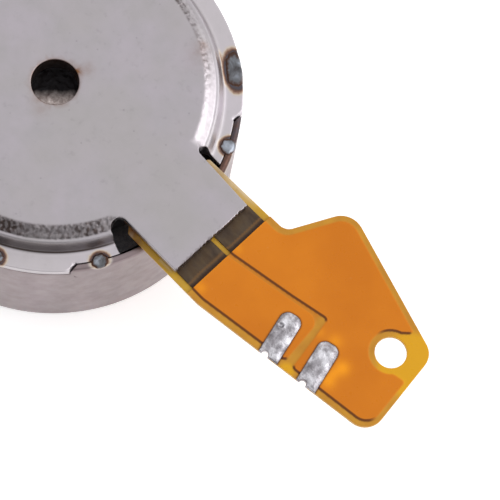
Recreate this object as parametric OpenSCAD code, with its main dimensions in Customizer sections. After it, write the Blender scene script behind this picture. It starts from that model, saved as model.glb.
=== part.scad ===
// Coin vibration motor: a drawn steel can closed by a pressed bracket, with a
// flexible circuit tail under the bracket's tongue. An off-centre rotor turns on
// a fixed shaft between a ring magnet and the can.
// Millimetres. Z runs along the shaft, from the can's closed face to the bracket.
// X runs along the tongue and the tail. The origin is the closed face's centre.

/* [Coin] */
// Outside diameter of the can
coin_d = 10; // [9.8:0.05:10.2]
// Height from the can's closed face to the bracket's raised face
coin_h = 5; // [4.9:0.05:5.2]
// Sheet thickness of the can
can_t = 0.2; // [0.18:0.01:0.22]
// Radius of the can's closed corner
can_corner = 0.25; // [0.24:0.01:0.4]

/* [Bracket] */
// Sheet thickness of the bracket
bracket_t = 0.25; // [0.2:0.01:0.25]
// Height of the raised face over the bracket's rim
bracket_rise = 0.7; // [0.65:0.01:0.75]
// Radius of the raised flat face
raised_r = 3.95; // [3.93:0.01:3.98]
// Width of the tongue at its end
tongue_w = 2.6; // [2.5:0.05:2.6]
// Reach of the tongue from the shaft's axis
tongue_reach = 5.9; // [5.7:0.05:6.1]
// Diameter of the hole that shows the shaft's foot
shaft_hole_d = 1.26; // [1.2:0.02:1.3]
// Half angle of the wall left standing beside the tongue, in degrees
lug_start = 37; // [36:0.5:39]

/* [Flexible circuit] */
// Thickness of the polyimide base film
film_t = 0.06; // [0.05:0.005:0.07]
// Thickness of the copper
copper_t = 0.04; // [0.03:0.005:0.05]
// Thickness of the coverlay over the copper
coverlay_t = 0.05; // [0.04:0.005:0.05]
// Where the coverlay starts, from the shaft's axis
coverlay_start = 6.48; // [6.3:0.02:6.6]
// Diameter of the locating hole
locating_d = 0.84; // [0.8:0.02:0.9]
// Width of a solder pad
pad_w = 0.6; // [0.56:0.02:0.62]

/* [Motor parts] */
// Diameter of the shaft where the rotor turns
shaft_d = 0.8; // [0.7:0.05:0.85]
// Radial running clearance between the shaft and the bearing
running_gap = 0.02; // [0.015:0.005:0.03]
// Thickness of the ring magnet
magnet_t = 1.2; // [1:0.05:1.2]
// Number of copper segments on the commutator
segments = 6; // [6:3:9]
// Half angle of the counterweight, in degrees
weight_half = 78; // [70:1:80]

/* [Hidden] */
$fn = 96;
eps = 0.01;
clear = 1;

// Heights along the shaft, from the bracket down
coin_r = coin_d / 2;
can_bore = coin_r - can_t;
rim_t = 0.17;
seam_r = coin_r - rim_t;
rim_top = coin_h - bracket_rise;
rim_under = rim_top - bracket_t;
raised_under = coin_h - bracket_t;
copper_top = raised_under - coverlay_t;
film_top = copper_top - copper_t;
film_under = film_top - film_t;
magnet_under = film_under - magnet_t;

// The bracket's raised face rolls over to a ledge, drops to the rim and ends in lugs
roll_r = 0.28;
ledge_r = 4.33;
foot_r = 4.5;
rim_end_angle = 22.8;
lug_slant = 2.4;
lug_gap = 0.6;
collar_t = 0.22;
collar_drop = 1.1;

// Tongue, wider at its root on one side, between two relief holes [x, y, radius]
tongue_root = 3.4;
tongue_from = 3.85;
tongue_flare = 0.12;
relief_x = 4.05;
reliefs = [[4, -1.5, 0.22], [4.06, 1.57, 0.18]];

// Rolled edge of the can's wall
edge_roll = 0.12;

// Laser welds along the seam between the bracket's rim and the can
weld_angles = [28, 53.5, 105, 150, 210, 255, 297.5, 330.5];
weld_r = 0.3;
weld_inset = 0.03;
weld_proud = 0.07;

// Shaft: a wide foot in the bracket's collar, and a thin journal
shaft_r = shaft_d / 2;
foot_recess = 0.6;
foot_reach = 1.15;
shoulder_z = film_under - foot_reach;
seat_t = 0.2;
seat_h = 0.4;

// Ring magnet
magnet_in = 2.5;
magnet_out = 3.9;

// Rotor stack, from the commutator down
air_gap = 0.25;
board_top = magnet_under - air_gap;
board_t = 0.25;
segment_t = 0.03;
segment_in = 1.15;
segment_out = 1.85;
segment_share = 0.9;
coil_t = 0.9;
rotor_r = 4.5;
rotor_under = 0.6;
washer_t = 0.1;
washer_r = 0.9;
washer_gap = 0.02;
lower_play = 0.03;
upper_play = 0.05;
bearing_r = 1;
bearing_bore = shaft_r + running_gap;
bearing_under = seat_h + washer_t + lower_play;
washer_under = shoulder_z - washer_t - washer_gap;
bearing_top = washer_under - upper_play;
hub_r = 1.55;
weight_in = 2.3;
weight_corner = 0.2;
moulding_lap = 1;
plate_drop = 0.3;
core_step = 0.1;
coil_in = 2.25;
coil_out = 4.2;
coil_half = 36;
coil_wire = 0.62;
coil_corner = 0.5;
window_corner = 0.25;
window_trim = 15;
coil_spread = 48;
disc_r = 2.15;
wide_side_half = 178 - weight_half;

// Solder dots of the coils' ends
dot_angles = [105, 160, 200, 255];
dot_r = 0.1;
dot_h = 0.06;

// Flexible circuit: a disc in the coin, a neck and a tail. Corners are [x, y, radius]
fpc_disc_r = 3.85;
fpc_bore = 1;
neck_half = 1.25;
tape_setback = 0.05;
tail = [[3.7, -neck_half, 0], [4.1, -neck_half, 0.05], [4.25, -1.42, 0.1], [6.85, -1.44, 0.8],
        [12.4, -0.7, 0.55], [12.06, 2, 0.5], [7.87, 3.26, 0.6], [7.03, 1.6, 0.35],
        [4.25, 1.55, 0.1], [4.1, neck_half, 0.05], [3.7, neck_half, 0]];
locating = [11.25, 1.27];

// Copper: each net is half of the disc and a strip, with a slit between the nets
net_r = 3.5;
net_bore = 1.25;
strip_half = 1.2;
slit = [-0.03, 0.12];
positive_strip = [[net_r, -strip_half, 0], [6.86, -1.25, 0.8], [9.5, -0.86, 0.12],
                  [9.36, 0.54, 0.3], [8.4, 0.36, 0.8], [6.5, 0.02, 1.5], [net_r, slit[0], 0]];
negative_strip = [[net_r, slit[1], 0], [6.5, 0.15, 1.5], [8.4, 0.49, 0.8], [9.5, 0.72, 0.12],
                  [9.63, 0.05, 0.6], [9.78, -0.86, 0.1], [12.23, -0.54, 0.4], [11.94, 1.86, 0.1],
                  [7.96, 3.06, 0.45], [7.12, 1.4, 0.5], [4.6, 1.36, 0.2], [net_r, strip_half, 0]];
bare_patch = [[11.36, 0.72, 0], [11.77, 0.9, 0.2], [12.03, 0.95, 0.08], [12.16, 0.7, 0], [12.7, 0.6, 0],
              [12.7, 2.6, 0], [11.4, 2.6, 0], [11.22, 1.99, 0.05], [10.99, 1.77, 0]];
bare_r = 0.6;

// Solder pads: where each pad stands, their lean and their edge notches
pad_ends = [[8.88, -0.09], [10.1, 0.06]];
pad_top = 0.26;
pad_corner = 0.24;
pad_lean = 14;
pad_length = 1.4;
pad_rise = 0.1;
notches = [[9.03, -1.14], [10.25, -0.98]];
notch_r = 0.1;
notch_lining = 0.06;

// Brushes: a base soldered to the film and a spring arm down to the commutator
brush_y = 1.15;
brush_w = 0.4;
brush_t = 0.06;
base_w = 0.7;
base_x = [-1.75, -1.1];
contact_x = 1.1;
tip_x = 1.35;
brush_window = 0.4;
brush_x = (base_x[0] + base_x[1]) / 2;
brush_z = (film_under + film_top) / 2;
contact_gap = 0.02;
contact_half = 0.1;
contact_bow = 0.02;
tip_rise = 0.14;

// Points of an outline with each corner [x, y, radius] turned into an arc
function unit(v) = v / norm(v);
function corner(a, b, c) =
    let (u = unit([a.x - b.x, a.y - b.y]), v = unit([c.x - b.x, c.y - b.y]),
         half = acos(u * v) / 2, mid = unit(u + v),
         centre = [b.x, b.y] + mid * b.z / sin(half),
         start = [b.x, b.y] + u * b.z / tan(half) - centre,
         stop = [b.x, b.y] + v * b.z / tan(half) - centre,
         from = atan2(start.y, start.x),
         turn = ((atan2(stop.y, stop.x) - from + 540) % 360) - 180, steps = 8)
    [for (i = [0:steps]) centre + b.z * [cos(from + turn * i / steps), sin(from + turn * i / steps)]];
function rounded(p) = let (n = len(p))
    [for (i = [0:n - 1], q = p[i].z > 0 ? corner(p[(i + n - 1) % n], p[i], p[(i + 1) % n])
                                        : [[p[i].x, p[i].y]]) q];

// Points of an arc about the shaft's axis, with or without its two ends
function arc(r, from, to, steps = 24, ends = false) =
    [for (i = [ends ? 0 : 1:ends ? steps : steps - 1], a = from + (to - from) * i / steps)
        r * [cos(a), sin(a)]];

// Points of a corner arc whose centre lies at a radius and an angle
function bend(centre_r, centre_a, r, from, to) = let (steps = 6)
    [for (i = [0:steps], a = from + (to - from) * i / steps)
        centre_r * [cos(centre_a), sin(centre_a)] + r * [cos(a), sin(a)]];

// A slab of an outline, from one height to another
module slab(from, to) {
    translate([0, 0, from]) linear_extrude(to - from) children();
}

// A ring about the shaft's axis
module ring(inner, outer, from, to) {
    translate([0, 0, from]) difference() {
        cylinder(r = outer, h = to - from);
        translate([0, 0, -eps]) cylinder(r = inner, h = to - from + 2 * eps);
    }
}

// A sector of a ring, centred on an angle
module ring_sector(inner, outer, from, to, middle, half) {
    rotate(middle - half) rotate_extrude(angle = 2 * half)
        translate([inner, from]) square([outer - inner, to - from]);
}

// Outline of a ring sector with round corners, as a fan-shaped coil has
module fan(inner, outer, half, round_r) {
    in_turn = asin(round_r / (inner + round_r));
    out_turn = asin(round_r / (outer - round_r));
    out_half = half - out_turn;
    in_half = half - in_turn;
    polygon(concat(
        arc(outer, -out_half, out_half),
        bend(outer - round_r, out_half, round_r, out_half, half + 90),
        bend(inner + round_r, in_half, round_r, half + 90, in_half + 180),
        arc(inner, in_half, -in_half),
        bend(inner + round_r, -in_half, round_r, 180 - in_half, 270 - half),
        bend(outer - round_r, -out_half, round_r, 270 - half, 360 - out_half)));
}

// Outline of the sector that a pair of lugs fills, with slanted ends
module lug_sector(spread) {
    far = coin_r + clear;
    lean = lug_slant * (far - seam_r) / (coin_r - seam_r);
    inner = lug_start - spread;
    outer = lug_start - spread + lean;
    for (side = [-1, 1])
        polygon([[0, 0], seam_r * [cos(inner), side * sin(inner)],
                 far * [cos(outer), side * sin(outer)],
                 [far, side * 2 * far], [-far, side * 2 * far],
                 far * [-cos(outer), side * sin(outer)],
                 seam_r * [-cos(inner), side * sin(inner)]]);
}

// Drawn can: closed face, seat for the shaft's tip, and a wall with a ledge for the
// bracket's rim and a rolled edge
module case() {
    color("lightgray") difference() {
        rotate_extrude() difference() {
            union() {
                translate([shaft_r, 0]) square([coin_r - can_corner - shaft_r, can_t]);
                translate([shaft_r, 0]) square([seat_t, seat_h]);
                translate([coin_r - can_corner, can_corner]) intersection() {
                    circle(r = can_corner);
                    translate([0, -can_corner]) square([can_corner, can_corner]);
                }
                translate([can_bore, can_corner]) square([can_t, rim_under - can_corner]);
                translate([seam_r, can_corner])
                    square([coin_r - seam_r, rim_top - edge_roll - can_corner]);
                translate([seam_r, can_corner])
                    square([coin_r - seam_r - edge_roll, rim_top - can_corner]);
                translate([coin_r - edge_roll, rim_top - edge_roll]) intersection() {
                    circle(r = edge_roll);
                    square(edge_roll);
                }
            }
            translate([coin_r - can_corner, can_corner]) circle(r = can_corner - can_t);
        }
        slab(rim_under, rim_top + clear) lug_sector(lug_gap);
    }
}

// Outline of the tongue from a place on its axis to another
module tongue_outline(from, to) {
    half = tongue_w / 2;
    polygon([[from, -half], [to, -half], [to, half], [tongue_reach, half],
             [relief_x, half + tongue_flare], [from, half + tongue_flare]]);
}

// Profile of the bracket from its hole to its rim, turned about the shaft
module bracket_profile() {
    hole_r = shaft_hole_d / 2;
    roll_in = roll_r - bracket_t;
    wall_in = foot_r - bracket_t;
    ledge_z = coin_h - roll_r;
    translate([hole_r, raised_under]) square([raised_r - hole_r, bracket_t]);
    translate([hole_r, coin_h - collar_drop]) square([collar_t, collar_drop]);
    translate([raised_r, ledge_z]) intersection() {
        difference() {
            circle(r = roll_r);
            circle(r = roll_in);
        }
        square(roll_r);
    }
    polygon([[raised_r + roll_in, ledge_z], [ledge_r, ledge_z], [foot_r, rim_top],
             [foot_r, rim_under], [wall_in, rim_under], [raised_r + roll_in, ledge_z - bracket_t]]);
    translate([wall_in, rim_under]) square([seam_r - wall_in, bracket_t]);
}

// Outline of the gaps between the tongue and the rim's ends
module rim_gaps() {
    half = tongue_w / 2;
    slope = tan(rim_end_angle);
    far = relief_x + clear;
    for (side = [-1, 1])
        polygon([[relief_x, side * half], [far, side * half],
                 [far, side * far * slope], [relief_x, side * relief_x * slope]]);
}

// Pressed bracket: raised face with the shaft collar, rim with two lugs, and tongue
module bracket() {
    color("silver") difference() {
        union() {
            difference() {
                union() {
                    rotate_extrude() bracket_profile();
                    slab(rim_under, rim_top) intersection() {
                        difference() {
                            circle(r = coin_r);
                            circle(r = foot_r);
                        }
                        lug_sector(0);
                    }
                }
                slab(0, coin_h + clear) rim_gaps();
                slab(0, raised_under) tongue_outline(tongue_from, coin_d);
            }
            slab(raised_under, coin_h) tongue_outline(tongue_root, tongue_reach);
        }
        for (relief = reliefs)
            translate([relief.x, relief.y, 0]) cylinder(r = relief.z, h = coin_h + clear);
    }
}

// Laser weld nuggets, sunk in the seam and ground flush with the can's wall
module weld_spots() {
    color("slategray") intersection() {
        for (a = weld_angles)
            rotate(a) translate([seam_r - weld_inset, 0, rim_top - weld_r + weld_proud])
                sphere(r = weld_r);
        cylinder(r = coin_r, h = coin_h);
    }
}

// Fixed shaft, pressed into the bracket's collar and into the can's seat
module shaft() {
    color("gainsboro") {
        translate([0, 0, shoulder_z])
            cylinder(d = shaft_hole_d, h = coin_h - foot_recess - shoulder_z);
        cylinder(r = shaft_r, h = shoulder_z);
    }
}

// Sintered ring magnet, bonded over the flexible circuit
module ring_magnet() {
    color("dimgray") ring(magnet_in, magnet_out, magnet_under, film_under);
}

// Outline of the flexible circuit
module fpc_outline(lining) {
    neck_angle = asin(neck_half / fpc_disc_r);
    difference() {
        polygon(concat(arc(fpc_disc_r, neck_angle, 360 - neck_angle, 72, true), rounded(tail)));
        circle(r = fpc_bore);
        translate(locating) circle(d = locating_d);
        for (p = notches) translate(p) circle(r = notch_r + lining);
    }
}

// Outline of one pad: a rounded end, then straight to the tail's edge
module pad_outline(end) {
    intersection() {
        polygon(rounded(tail));
        translate(end) rotate(pad_lean)
            polygon(rounded([[-pad_w / 2, pad_top, pad_corner], [pad_w / 2, pad_top, pad_corner],
                             [pad_w / 2, -pad_length, 0], [-pad_w / 2, -pad_length, 0]]));
    }
}

// Copper of one net: its half of the disc, its strip and its pad's land
module net(index, from, to) {
    strip_angle = asin(strip_half / net_r);
    slit_angle = asin(slit[index] / net_r);
    outline = index == 0
        ? concat(arc(net_r, 180 - slit_angle, 360 - strip_angle, 36, true), rounded(positive_strip))
        : concat(arc(net_r, strip_angle, 180 - slit_angle, 36, true), rounded(negative_strip));
    difference() {
        union() {
            slab(from, to) polygon(outline);
            slab(from, to) pad_outline(pad_ends[index]);
        }
        translate([0, 0, from - eps]) cylinder(r = net_bore, h = to - from + 2 * eps);
        slab(from - eps, to + eps) {
            translate(locating) circle(r = bare_r);
            for (p = notches) translate(p) circle(r = notch_r + notch_lining);
        }
        slab(from - eps, to + eps) polygon(rounded(bare_patch));
    }
}

// Double-sided tape between the flexible circuit and the bracket
module fpc_bonding_tape() {
    color("darkkhaki") slab(copper_top, raised_under) difference() {
        union() {
            circle(r = fpc_disc_r);
            translate([0, -neck_half]) square([tongue_reach - tape_setback, 2 * neck_half]);
        }
        circle(r = fpc_bore);
    }
}

// Polyimide base film, with a window under each brush's base
module fpc_base_film() {
    color("goldenrod") difference() {
        slab(film_under, film_top) fpc_outline(notch_lining);
        brush_windows();
    }
}

// Copper of the positive net
module fpc_trace_positive() {
    color("chocolate") net(0, film_top, copper_top);
}

// Copper of the negative net
module fpc_trace_negative() {
    color("chocolate") net(1, film_top, copper_top);
}

// Coverlay: wraps the copper on the tail and leaves the pads bare
module fpc_coverlay() {
    color("darkorange") difference() {
        slab(film_top, raised_under) difference() {
            intersection() {
                fpc_outline(notch_lining);
                translate([coverlay_start, -coin_r]) square([coin_d, coin_d]);
            }
            for (end = pad_ends) pad_outline(end);
        }
        for (index = [0, 1]) net(index, film_top - eps, copper_top);
    }
}

// Solder on a pad, which also lines the half hole in the tail's edge
module solder_pad(index) {
    top = copper_top + pad_rise;
    color("whitesmoke") difference() {
        union() {
            slab(copper_top, top) pad_outline(pad_ends[index]);
            slab(film_under, top) intersection() {
                polygon(rounded(tail));
                translate(notches[index]) circle(r = notch_r + notch_lining);
            }
        }
        translate([notches[index].x, notches[index].y, 0]) cylinder(r = notch_r, h = coin_h);
    }
}

// Windows in the base film for the brushes' solder
module brush_windows() {
    for (side = [-1, 1])
        translate([brush_x, side * brush_y, brush_z])
            cube([brush_window, brush_window, film_t + eps], center = true);
}

// Solder between the brushes' bases and the copper, in the film's windows
module brush_solder_joints() {
    color("whitesmoke") for (side = [-1, 1])
        translate([brush_x, side * brush_y, brush_z])
            cube([brush_window, brush_window, film_t], center = true);
}

// Spring brush: base, sloping arm and an upturned tip that runs on the commutator
module brush(side) {
    base_z = film_under - brush_t;
    contact_z = board_top + segment_t + contact_gap;
    bow_z = contact_z + contact_bow;
    over_z = bow_z + brush_t;
    tip_z = contact_z + tip_rise;
    color("gold") translate([0, side * brush_y, 0]) {
        translate([base_x[0], -base_w / 2, base_z]) cube([base_x[1] - base_x[0], base_w, brush_t]);
        rotate([90, 0, 0]) translate([0, 0, -brush_w / 2]) linear_extrude(brush_w)
            polygon([[base_x[1], base_z + brush_t], [base_x[1], base_z],
                     [contact_x - contact_half, bow_z], [contact_x, contact_z],
                     [contact_x + contact_half, bow_z], [tip_x, tip_z],
                     [tip_x - brush_t / 2, tip_z + brush_t],
                     [contact_x + contact_half / 2, over_z], [contact_x - contact_half / 2, over_z]]);
    }
}

// Slip washer between a bearing end and what it runs against
module thrust_washer(from) {
    color("khaki") ring(shaft_r + running_gap, washer_r, from, from + washer_t);
}

// Sintered bearing bush of the rotor
module rotor_bearing() {
    color("peru") ring(bearing_bore, bearing_r, bearing_under, bearing_top);
}

// Outline of a coil, or of its window
module coil_outline(middle) {
    rotate(middle) fan(coil_in, coil_out, coil_half, coil_corner);
}

module coil_window(middle) {
    rotate(middle)
        fan(coil_in + coil_wire, coil_out - coil_wire, coil_half - window_trim, window_corner);
}

// Air-core coil of enamelled wire
module coil(middle) {
    color("orangered") slab(board_top - coil_t, board_top) difference() {
        coil_outline(middle);
        coil_window(middle);
    }
}

// Rotor board: commutator disc and the wide side with two coil openings
module rotor_board() {
    color("darkgreen") difference() {
        union() {
            ring(bearing_r, disc_r, board_top - board_t, board_top);
            ring_sector(bearing_r, rotor_r, board_top - board_t, board_top, 180, wide_side_half);
        }
        slab(board_top - board_t - eps, board_top + eps)
            for (side = [-1, 1]) coil_outline(180 + side * coil_spread);
    }
}

// Commutator: flat copper segments round the bearing
module commutator_segments() {
    pitch = 360 / segments;
    color("gold") for (i = [0:segments - 1])
        ring_sector(segment_in, segment_out, board_top, board_top + segment_t, i * pitch,
                    pitch * segment_share / 2);
}

// Solder dots where the coils' ends meet the board
module coil_solder_joints() {
    color("whitesmoke") for (a = dot_angles)
        rotate(a) translate([(coil_out + rotor_r) / 2, 0, board_top])
            cylinder(r = dot_r, h = dot_h);
}

// Tungsten counterweight, which puts the rotor's centre of mass off the shaft
module counterweight() {
    color("slategray") slab(rotor_under, board_top)
        fan(weight_in, rotor_r, weight_half, weight_corner);
}

// Moulded resin that ties the bearing, board, coils and counterweight together
module rotor_moulding() {
    plate_under = board_top - coil_t - plate_drop;
    board_under = board_top - board_t;
    heavy_half = weight_half + moulding_lap;
    color("black") {
        difference() {
            union() {
                translate([0, 0, rotor_under]) cylinder(r = hub_r, h = board_under - rotor_under);
                slab(rotor_under, board_under)
                    polygon(concat([[0, 0]], arc(weight_in, -heavy_half, heavy_half, 24, true)));
                slab(plate_under, board_under)
                    polygon(concat([[0, 0]], arc(rotor_r, weight_half, 360 - weight_half, 48, true)));
            }
            translate([0, 0, rotor_under - eps]) cylinder(r = bearing_r, h = coin_h);
            slab(board_top - coil_t, board_top)
                for (side = [-1, 1]) coil_outline(180 + side * coil_spread);
        }
        for (side = [-1, 1])
            slab(plate_under + core_step, board_top) coil_window(180 + side * coil_spread);
    }
}

case();
bracket();
weld_spots();
shaft();
ring_magnet();
fpc_bonding_tape();
fpc_base_film();
fpc_trace_positive();
fpc_trace_negative();
fpc_coverlay();
solder_pad(0);  // solder_pad_positive
solder_pad(1);  // solder_pad_negative
brush(-1);  // brush_positive
brush(1);  // brush_negative
brush_solder_joints();
thrust_washer(washer_under);  // upper_thrust_washer
thrust_washer(seat_h);  // lower_thrust_washer
rotor_bearing();
rotor_board();
commutator_segments();
coil(180 - coil_spread);  // coil_a
coil(180 + coil_spread);  // coil_b
coil_solder_joints();
counterweight();
rotor_moulding();
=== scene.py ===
"""Looks of a coin vibration motor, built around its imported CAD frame.

Lengths are millimetres and angles are degrees until a mesh is made. Z runs along the
shaft, from the can's closed face to the bracket, and X along the tongue and the tail.
"""

import math

import bpy
import numpy as np
from mathutils import Matrix, Vector, kdtree, noise
from mathutils.geometry import delaunay_2d_cdt


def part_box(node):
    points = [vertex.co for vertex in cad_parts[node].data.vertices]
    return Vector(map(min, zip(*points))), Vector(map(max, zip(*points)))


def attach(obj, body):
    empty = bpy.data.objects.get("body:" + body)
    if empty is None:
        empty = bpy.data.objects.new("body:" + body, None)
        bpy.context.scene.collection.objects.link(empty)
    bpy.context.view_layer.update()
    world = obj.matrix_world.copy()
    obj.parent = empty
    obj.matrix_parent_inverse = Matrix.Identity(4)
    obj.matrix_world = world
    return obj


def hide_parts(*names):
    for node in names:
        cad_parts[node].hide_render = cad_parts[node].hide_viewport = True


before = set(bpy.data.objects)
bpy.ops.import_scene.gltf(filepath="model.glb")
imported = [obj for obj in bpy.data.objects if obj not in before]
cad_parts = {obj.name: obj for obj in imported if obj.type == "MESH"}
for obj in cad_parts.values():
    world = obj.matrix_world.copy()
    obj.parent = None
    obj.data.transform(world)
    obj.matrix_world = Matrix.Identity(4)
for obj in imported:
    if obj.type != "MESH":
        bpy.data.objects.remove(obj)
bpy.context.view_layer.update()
MM = 0.001


def span(node):
    """Lowest and highest corners of a CAD node, in millimetres."""
    low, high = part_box(node)
    return low / MM, high / MM


# ---------------------------------------------------------------- sizes from the frame
COIN_R = span("case")[1].x
RIM_TOP = span("case")[1].z
FACE = span("bracket")[1].z
TONGUE_END = span("bracket")[1].x
RIM_UNDER = RIM_TOP - 0.25
FACE_UNDER = span("fpc_bonding_tape")[1].z
COPPER_TOP = span("fpc_trace_positive")[1].z
FILM_TOP = span("fpc_base_film")[1].z
FILM_UNDER = span("fpc_base_film")[0].z
SOLDER_TOP = span("solder_pad_positive")[1].z
SHAFT_TOP = span("shaft")[1].z
HOLE_R = span("shaft")[1].x
COVERLAY_START = span("fpc_coverlay")[0].x
TAIL_END = span("fpc_base_film")[1].x

# Bracket. A relief is x, y and radius, and a rim's end is an angle, for the +Y and the -Y side
TONGUE_HALF = 1.3
SEAM_R = 4.83
RELIEFS = {1: (4.06, 1.57, 0.18), -1: (4.0, -1.5, 0.22)}
RIM_ENDS = {1: 21.2, -1: 22.8}
LUG_START = 37
LUG_LEAN = 2.4
LUG_GAP = 0.6
COLLAR_R = HOLE_R + 0.22
COLLAR_UNDER = FACE - 1.1
# Radius and drop of the way down from the raised face to the rim
STEP = [(0, 0), (3.90, 0), (3.96, 0.012), (4.02, 0.04), (4.08, 0.085), (4.14, 0.15), (4.19, 0.21),
        (4.225, 0.25), (4.25, 0.268), (4.31, 0.28), (4.335, 0.30), (4.36, 0.345), (4.44, 0.60),
        (4.47, 0.65), (4.51, 0.68), (4.56, 0.695), (4.61, 0.7), (6, 0.7)]

# Flexible circuit: corners are x, y and radius
TAIL = [(3.7, -1.25, 0), (4.1, -1.25, 0.05), (4.25, -1.42, 0.1), (6.85, -1.44, 0.8),
        (12.4, -0.7, 0.55), (12.06, 2, 0.5), (7.87, 3.26, 0.6), (7.03, 1.6, 0.35),
        (4.25, 1.55, 0.1), (4.1, 1.25, 0.05), (3.7, 1.25, 0)]
NET_STRIPS = {
    "positive": [(3.5, -1.2, 0), (6.86, -1.25, 0.8), (9.5, -0.86, 0.12), (9.36, 0.54, 0.3),
                 (8.4, 0.36, 0.8), (6.5, 0.02, 1.5), (3.5, -0.03, 0)],
    "negative": [(3.5, 0.12, 0), (6.5, 0.15, 1.5), (8.4, 0.49, 0.8), (9.5, 0.72, 0.12),
                 (9.63, 0.05, 0.6), (9.78, -0.86, 0.1), (12.23, -0.54, 0.4), (11.94, 1.86, 0.1),
                 (7.96, 3.06, 0.45), (7.12, 1.4, 0.5), (4.6, 1.36, 0.2), (3.5, 1.2, 0)],
}
BARE_PATCH = [(11.36, 0.72, 0), (11.77, 0.9, 0.2), (12.03, 0.95, 0.08), (12.16, 0.7, 0), (12.7, 0.6, 0),
              (12.7, 2.6, 0), (11.4, 2.6, 0), (11.22, 1.99, 0.05), (10.99, 1.77, 0)]
BARE_R = 0.6
LOCATING = (11.25, 1.27)
LOCATING_R = 0.42
DISC_R = 3.85
DISC_BORE = 1.0
NET_R = 3.5
NET_BORE = 1.25
PAD_ENDS = {"positive": (8.88, -0.09), "negative": (10.1, 0.06)}
NOTCHES = {"positive": (9.03, -1.14), "negative": (10.25, -0.98)}
PAD_LEAN = 14
PAD_W = 0.6
PAD_TOP = 0.26
PAD_CORNER = 0.24
PAD_LENGTH = 1.4
NOTCH_R = 0.1
NOTCH_LINING = 0.06
NOTCH_OUT = NOTCH_R + NOTCH_LINING
BRUSH_WINDOWS = [(-1.425, -1.15), (-1.425, 1.15)]
BRUSH_WINDOW = 0.4
SHAFT_TIP_R = 0.4


# ---------------------------------------------------------------- outlines in the plane
def circle(centre, radius, count=96):
    """Points of a circle, counter-clockwise."""
    turn = np.linspace(0, 2 * np.pi, count, endpoint=False)
    return np.array(centre) + radius * np.stack([np.cos(turn), np.sin(turn)], 1)


def arc(radius, start, stop, step=0.5, centre=(0, 0)):
    """Points of an arc from one angle to another, both ends included."""
    count = max(2, int(abs(stop - start) / step) + 1)
    turn = np.radians(np.linspace(start, stop, count))
    return np.array(centre) + radius * np.stack([np.cos(turn), np.sin(turn)], 1)


def unit(v):
    return v / np.linalg.norm(v)


def rounded(corners, steps=10):
    """Points of an outline whose corners, given as x, y and radius, are arcs."""
    points = []
    for i, (x, y, radius) in enumerate(corners):
        at = np.array([x, y], float)
        if radius == 0:
            points.append(at)
            continue
        to_last = unit(np.array(corners[i - 1][:2]) - at)
        to_next = unit(np.array(corners[(i + 1) % len(corners)][:2]) - at)
        half = math.acos(float(to_last @ to_next)) / 2
        centre = at + unit(to_last + to_next) * radius / math.sin(half)
        start = at + to_last * radius / math.tan(half) - centre
        stop = at + to_next * radius / math.tan(half) - centre
        first = math.atan2(start[1], start[0])
        turn = (math.atan2(stop[1], stop[0]) - first + 3 * math.pi) % (2 * math.pi) - math.pi
        for k in range(steps + 1):
            a = first + turn * k / steps
            points.append(centre + radius * np.array([math.cos(a), math.sin(a)]))
    return np.array(points)


def spaced(loop, spacing):
    """The same outline with its long sides cut into steps no longer than the spacing."""
    out = []
    for a, b in zip(loop, np.roll(loop, -1, 0)):
        count = max(1, math.ceil(np.linalg.norm(b - a) / spacing))
        out += [a + (b - a) * k / count for k in range(count)]
    return np.array(out)


def pad_outline(net):
    """A pad: a rounded end, then straight past the tail's edge."""
    turn = math.radians(PAD_LEAN)
    half = PAD_W / 2
    shape = rounded([(-half, PAD_TOP, PAD_CORNER), (half, PAD_TOP, PAD_CORNER),
                     (half, -PAD_LENGTH, 0), (-half, -PAD_LENGTH, 0)])
    cos, sin = math.cos(turn), math.sin(turn)
    return shape @ np.array([[cos, sin], [-sin, cos]]) + np.array(PAD_ENDS[net])


def circuit_outline():
    """The flexible circuit: its disc in the coin, its neck and its tail."""
    neck = math.degrees(math.asin(1.25 / DISC_R))
    return np.concatenate([arc(DISC_R, neck, 360 - neck, 2), rounded(TAIL)])


def net_outline(net):
    """Copper of a net: half of the disc, and a strip."""
    strip = math.degrees(math.asin(1.2 / NET_R))
    if net == "positive":
        half_disc = arc(NET_R, 180 + math.degrees(0.03 / NET_R), 360 - strip, 3)
    else:
        half_disc = arc(NET_R, strip, 180 - math.degrees(0.12 / NET_R), 3)
    return np.concatenate([half_disc, rounded(NET_STRIPS[net])])


def inside(points, loop):
    """Whether each point is inside an outline."""
    odd = np.zeros(len(points), bool)
    a, b = loop, np.roll(loop, -1, 0)
    rise = b[:, 1] - a[:, 1]
    slope = (b[:, 0] - a[:, 0]) / np.where(np.abs(rise) < 1e-12, 1e-12, rise)
    for start in range(0, len(points), 4000):
        part = slice(start, start + 4000)
        x, y = points[part, :1], points[part, 1:2]
        crosses = (a[:, 1] > y) != (b[:, 1] > y)
        odd[part] = (crosses & (x < a[:, 0] + (y - a[:, 1]) * slope)).sum(1) % 2 == 1
    return odd


def tree_of(points):
    """A search tree over points of the plane."""
    tree = kdtree.KDTree(len(points))
    for i, (x, y) in enumerate(points):
        tree.insert((x, y, 0), i)
    tree.balance()
    return tree


def nearest(points, targets):
    """Distance from each point to the nearest target point."""
    tree = tree_of(targets)
    return np.array([tree.find((x, y, 0))[2] for x, y in points])


def grid(low, high, spacing):
    """A hexagonal grid of points over a box."""
    rows = []
    height = spacing * math.sqrt(3) / 2
    for k, y in enumerate(np.arange(low[1], high[1], height)):
        x = np.arange(low[0] + spacing / 2 * (k % 2), high[0], spacing)
        rows.append(np.stack([x, np.full(len(x), y)], 1))
    return np.concatenate(rows)


def rings(radii, count):
    """Points on circles about the shaft's axis."""
    return np.concatenate([circle((0, 0), r, count) for r in radii])


def smooth(value, low, high):
    """0 below low and 1 above high, with a smooth change between. It falls if high is the lower."""
    t = np.clip((value - low) / (high - low), 0, 1)
    return t * t * (3 - 2 * t)


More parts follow.
